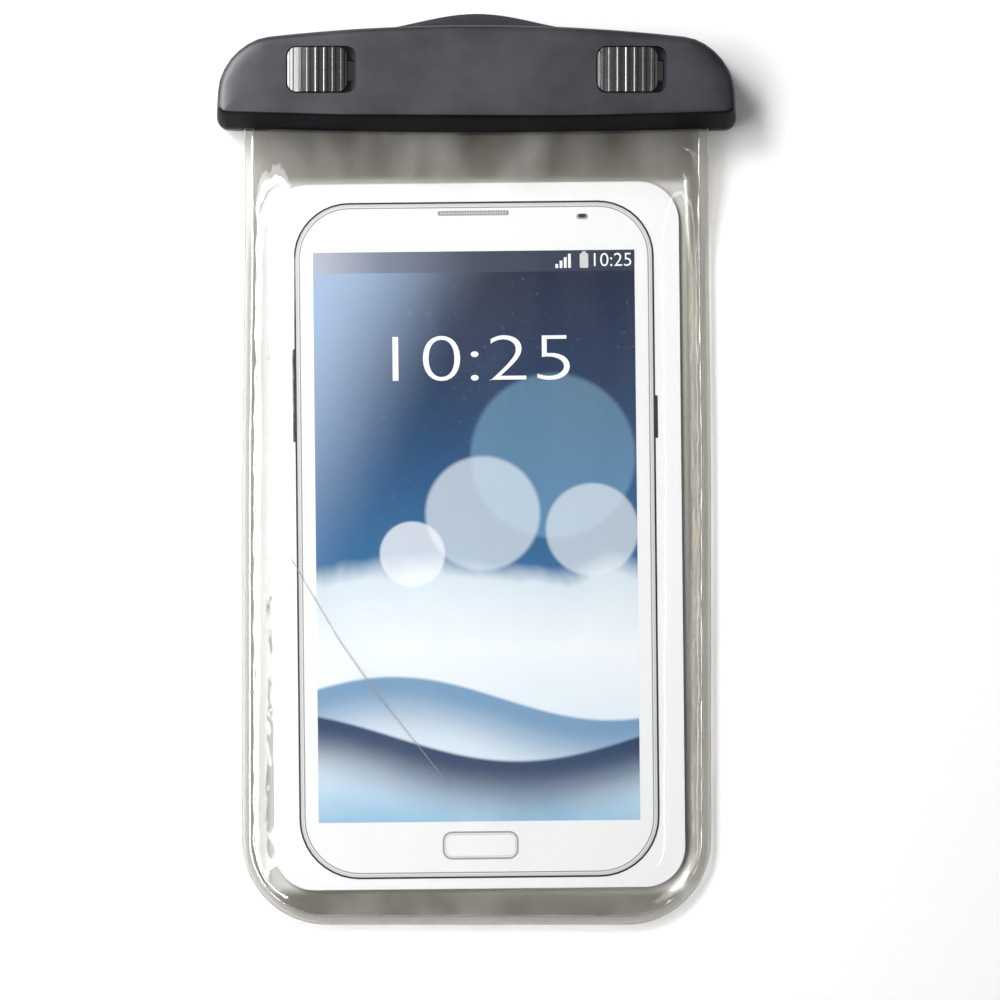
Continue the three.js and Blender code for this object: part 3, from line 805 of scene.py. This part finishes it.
def printed(name, outline, material, level, middle=(0, 0), hole=None):
    """A flat printed field of ink, or a printed line between an outline and a hole with as many points."""
    base = ink_base(level)
    count = len(outline)
    loops = [outline] if hole is None else [outline, hole]
    flat = [point for loop in loops for point in loop]
    places = [on_card(x + middle[0], y + middle[1]) for x, y in flat]
    vertices = [(x, y, base + INK) for x, y in places] + [(x, y, base) for x, y in places]
    down = len(places)
    faces = []
    if hole is None:
        faces = [list(range(count)), [down + i for i in reversed(range(count))]]
    for i in range(count):
        j = (i + 1) % count
        faces.append([down + i, down + j, j, i])
        if hole is not None:
            a, b = count + i, count + j
            faces += [[i, j, b, a], [down + j, down + i, down + a, down + b], [a, b, down + b, down + a]]
    piece = mesh_object(name, vertices, faces, [material], shade=False)
    uv = piece.data.uv_layers.new(name="UVMap")
    left, low = (min(p[axis] for p in outline) for axis in (0, 1))
    width, length = (max(p[axis] for p in outline) - least for axis, least in ((0, left), (1, low)))
    for loop in piece.data.loops:
        x, y = flat[loop.vertex_index % down]
        uv.data[loop.index].uv = ((x - left) / width, (y - low) / length)
    finish_print(piece)


def line_print(name, width, length, upper, lower, thickness, material, middle=(0, 0)):
    outer = rounded_rectangle(width, length, upper, lower)
    inner_size = (width - 2 * thickness, length - 2 * thickness, upper - thickness, lower - thickness)
    printed(name, outer, material, 1, middle, rounded_rectangle(*inner_size))


def number_print(name, digits, size, weight, middle, material, level, stretch=1.0):
    """Printed digits, thinner than the font's where the weight is below nothing."""
    curve = bpy.data.curves.new(name, "FONT")
    curve.body = digits
    curve.size = size
    curve.align_x = "CENTER"
    curve.align_y = "CENTER"
    curve.offset = weight
    curve.extrude = INK / 2
    curve.resolution_u = 6
    text = bpy.data.objects.new(name + "_text", curve)
    bpy.context.scene.collection.objects.link(text)
    depsgraph = bpy.context.evaluated_depsgraph_get()
    mesh = bpy.data.meshes.new_from_object(text.evaluated_get(depsgraph))
    bpy.data.objects.remove(text)
    place = Matrix.Translation((*on_card(*middle), ink_base(level) + INK / 2))
    turn = Matrix.Rotation(CARD_TURN, 4, "Z")
    mesh.transform(place @ turn @ Matrix.Diagonal((stretch, 1, 1, 1)))
    clean_mesh(mesh, merge=0.001 * MM)
    mesh.materials.clear()
    mesh.materials.append(material)
    piece = bpy.data.objects.new(name, mesh)
    bpy.context.scene.collection.objects.link(piece)
    finish_print(piece)


def print_phone_body(inks):
    """The pictured phone's face, with its outline, a thin line inside it and a silver rim."""
    width, length = PHONE
    upper, lower = PHONE_CORNERS
    printed("print_phone_face", rounded_rectangle(width, length, upper, lower), inks["pale"], 0, PHONE_MIDDLE)
    for name, inset, thickness, ink in (
        ("print_outline", 0.0, OUTLINE, "black"),
        ("print_inner_outline", 1.15 * MM, 0.28 * MM, "grey"),
        ("print_rim", OUTLINE, 0.6 * MM, "silver"),
    ):
        size = (width - 2 * inset, length - 2 * inset, upper - inset, lower - inset)
        line_print(name, *size, thickness, inks[ink], PHONE_MIDDLE)


def print_screen():
    screen = rounded_rectangle(*SCREEN, SCREEN_CORNER)
    band = rounded_rectangle(SCREEN[0], BAND_HEIGHT, SCREEN_CORNER)
    printed("print_screen", screen, wallpaper(), 1, SCREEN_MIDDLE)
    printed("print_status_band", band, status_band(), 2, (0, STATUS_Y))


def print_status(inks):
    """Signal bars that grow, a battery and small numbers, then the clock's large thin numbers."""
    bars, bar_width, bar_pitch = 4, 0.62 * MM, 0.95 * MM
    first_bar, bars_low = 18.6 * MM, STATUS_Y - 1.6 * MM
    least_height, growth = 0.9, 0.75
    for n in range(bars):
        height = (least_height + growth * n) * MM
        bar = rounded_rectangle(bar_width, height, 0.1 * MM, steps=3)
        place = (first_bar + n * bar_pitch, bars_low + height / 2)
        printed(f"print_signal_bar_{n + 1}", bar, inks["white"], 3, place)
    battery_x = 24.7 * MM
    battery = rounded_rectangle(1.9 * MM, 3.3 * MM, 0.3 * MM, steps=3)
    tip = rounded_rectangle(0.9 * MM, 0.4 * MM, 0.1 * MM, steps=3)
    printed("print_battery", battery, inks["silver"], 3, (battery_x, STATUS_Y))
    printed("print_battery_tip", tip, inks["silver"], 3, (battery_x, STATUS_Y + 1.85 * MM))
    small = {"size": 4.3 * MM, "weight": -0.02 * MM, "middle": (30.8 * MM, STATUS_Y), "level": 3}
    clock = {"size": 15.2 * MM, "weight": -0.27 * MM, "middle": (0, 39.2 * MM), "level": 2, "stretch": 1.36}
    number_print("print_small_numbers", "10:25", material=inks["white"], **small)
    number_print("print_clock_numbers", "10:25", material=inks["white"], **clock)


def print_small_parts(inks):
    """The home button, the earpiece with its slats, the lens and the keys on both sides."""
    button_middle = (0.2 * MM, -69.3 * MM)
    for name, width, length, corner, thickness, ink in (
        ("print_home_button", 17 * MM, 6.3 * MM, 2.1 * MM, 0.42 * MM, "grey"),
        ("print_home_button_lip", 15.8 * MM, 5.1 * MM, 1.5 * MM, 0.2 * MM, "silver"),
    ):
        line_print(name, width, length, corner, corner, thickness, inks[ink], button_middle)
    earpiece_y = 72.3 * MM
    earpiece = rounded_rectangle(16 * MM, 1.1 * MM, 0.5 * MM)
    printed("print_earpiece", earpiece, inks["grey"], 1, (0, earpiece_y))
    slats, slat_pitch = 26, 0.58 * MM
    for n in range(slats):
        x = (n - (slats - 1) / 2) * slat_pitch
        slat = rounded_rectangle(0.24 * MM, 0.62 * MM, 0.1 * MM, steps=2)
        printed(f"print_earpiece_slat_{n + 1}", slat, inks["silver"], 2, (x, earpiece_y))
    lens_x, lens_y = 24.4 * MM, 71.3 * MM
    ring = rounded_rectangle(2.6 * MM, 1.3 * MM, 0.64 * MM)
    glass = rounded_rectangle(1.7 * MM, 0.8 * MM, 0.39 * MM)
    printed("print_lens", ring, inks["grey"], 1, (lens_x, lens_y))
    printed("print_lens_dark", glass, inks["black"], 2, (lens_x, lens_y + 0.15 * MM))
    side = PHONE[0] / 2 + 0.2 * MM
    for name, key_length, x, y in (
        ("print_left_key", 20.8 * MM, -side, 31.8 * MM),
        ("print_right_key", 9.6 * MM, side, 26.3 * MM),
    ):
        printed(name, rounded_rectangle(0.7 * MM, key_length, 0.3 * MM), inks["black"], 0, (x, y))


# Stage, lights and camera


def add_stage():
    """A wide pale floor just under the pouch, and a soft sky that is brightest up to the left."""
    reach = 3.0
    corners = [(-reach, -reach, 0), (reach, -reach, 0), (reach, reach, 0), (-reach, reach, 0)]
    floor = mesh_object("floor", corners, [[0, 1, 2, 3]], [floor_white()], shade=False)
    floor.location.z = -0.15 * MM
    world = bpy.data.worlds.new("studio")
    bpy.context.scene.world = world
    world.use_nodes = True
    tree = world.node_tree
    sky = tree.nodes["Background"]
    way = tree.nodes.new("ShaderNodeTexCoord").outputs["Generated"]
    dot = tree.nodes.new("ShaderNodeVectorMath")
    dot.operation = "DOT_PRODUCT"
    dot.inputs[1].default_value = SKY_WAY
    tree.links.new(way, dot.inputs[0])
    ramp = tree.nodes.new("ShaderNodeValToRGB")
    dim, full = ramp.color_ramp.elements
    dim.position = 0.0
    dim.color = (SKY_DIM, SKY_DIM, SKY_DIM, 1)
    full.position = SKY_FULL_AT
    full.color = (1, 1, 1, 1)
    tree.links.new(dot.outputs["Value"], ramp.inputs["Fac"])
    tree.links.new(ramp.outputs["Color"], sky.inputs["Color"])
    sky.inputs["Strength"].default_value = SKY_STRENGTH


def add_light(name, place, width, length, watts, highlights_only):
    """A panel that faces the pouch, with its length along the pouch."""
    light = bpy.data.lights.new(name, "AREA")
    light.energy = watts
    light.shape = "RECTANGLE"
    light.size = width
    light.size_y = length
    made = bpy.data.objects.new(name, light)
    made.location = place
    back = Vector(place).normalized()
    up = (Vector((0, 1, 0)) - back * back.y).normalized()
    made.rotation_euler = Matrix((up.cross(back), up, back)).transposed().to_euler()
    made.visible_diffuse = not highlights_only
    bpy.context.scene.collection.objects.link(made)


def add_camera():
    """Looks straight down, as the photograph does. The clip's middle stands at 476.5 of 1000 across."""
    scale = 0.2236 * MM
    middle_px, closed_end_px, side_px = 476.5, 925, 1000
    film_top = 3 * MM
    camera = bpy.data.cameras.new("camera")
    camera.lens = 200
    camera.sensor_width = 36
    camera.clip_start = 0.01
    made = bpy.data.objects.new("camera", camera)
    x = (side_px / 2 - middle_px) * scale
    y = CLOSED_END + (closed_end_px - side_px / 2) * scale
    distance = side_px * scale * camera.lens / camera.sensor_width
    made.location = (x, y, distance + film_top)
    bpy.context.scene.collection.objects.link(made)
    bpy.context.scene.camera = made


# The clip
jaw_finish = {"roughness": 0.45, "gloss": 0.32}
# A darker, duller copy of the charcoal for the front jaw's lower side: painted shade where it faces away from
# the lights
painted_shade_flank_finish = {"roughness": 0.42, "gloss": 0.06}
button_finish = {"roughness": 0.17, "gloss": 1.0, "grain": 0.0012 * MM, "index": 1.8}
charcoal = plastic("charcoal_plastic", (0.010, 0.010, 0.014), (0.025, 0.025, 0.033), **jaw_finish)
painted_shade_flank = plastic("charcoal_painted_shade_flank", (0.003, 0.003, 0.004), (0.005, 0.005, 0.007), **painted_shade_flank_finish)
button = plastic("button_plastic", (0.005, 0.005, 0.006), (0.010, 0.010, 0.012), **button_finish)

moulded("front_jaw", "clip_front", charcoal, JAW_ROUND, painted_shade_flank)
moulded("back_jaw", POUCH_BODY, charcoal, JAW_ROUND)
for side in ("left", "right"):
    moulded("latch_" + side, side + "_latch", button, LATCH_ROUND)
    moulded("lock_plate_" + side, side + "_latch", button, PLATE_ROUND)

# The film, whose materials stand in the order of its slots
front_clear = film("clear_film_front", haze=0.16, wrinkle=0.45 * MM)
back_clear = film("clear_film_back", haze=0.14, wrinkle=0.35 * MM)
flange_film = film("clear_film_flange", haze=0.12, wrinkle=0.35 * MM)
front_inside = film_inside("clear_film_front_inside", (0.995, 0.995, 0.992), beside=(0.92, 0.918, 0.908))
back_inside = film_inside("clear_film_back_inside", (0.90, 0.898, 0.885), beside=(0.515, 0.495, 0.465))
flange_inside = film_inside("clear_film_flange_inside", (0.90, 0.895, 0.885), beside=(0.90, 0.895, 0.885))
seam_film = pressed_line("film_weld_line", through=(0.72, 0.71, 0.69), painted_shade_share=0.40)
fold_film = pressed_line("film_fold_line", through=(0.90, 0.89, 0.88), painted_shade_share=0.25)
back_materials = [back_clear, seam_film, flange_film, back_inside, flange_inside]
front_materials = [front_clear, seam_film, flange_film, front_inside, flange_inside]

make_film("back_film_skin", "back_film", back_height, back_materials, outside_up=False)
make_film("front_film_skin", "front_film", front_height, front_materials, outside_up=True)
make_fold("film_fold_low", FOLD_ROUTE, FOLD_WIDTH, FOLD_RISE, fold_film)

# The card's print, from the lowest ink up
inks = {
    "black": paper("print_black", (0.012, 0.012, 0.014)),
    "grey": paper("print_grey", (0.30, 0.30, 0.31)),
    "silver": paper("print_silver", (0.58, 0.59, 0.60)),
    "pale": paper("print_pale", (0.83, 0.835, 0.84)),
    "white": paper("print_white", (0.90, 0.91, 0.92)),
}
print_phone_body(inks)
print_screen()
print_status(inks)
print_small_parts(inks)

# Pieces that keep the frame's own shape
finishes = {
    "insert_card": paper("coated_card", (0.86, 0.86, 0.865)),
    "back_seal": rubber(),
    "front_seal": rubber(),
    "hinge_pin": steel(),
}
for node, material in finishes.items():
    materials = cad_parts[node].data.materials
    materials.clear()
    materials.append(material)

add_stage()
for light in LIGHTS:
    add_light(*light)
add_camera()
bpy.context.scene.view_settings.view_transform = "Standard"
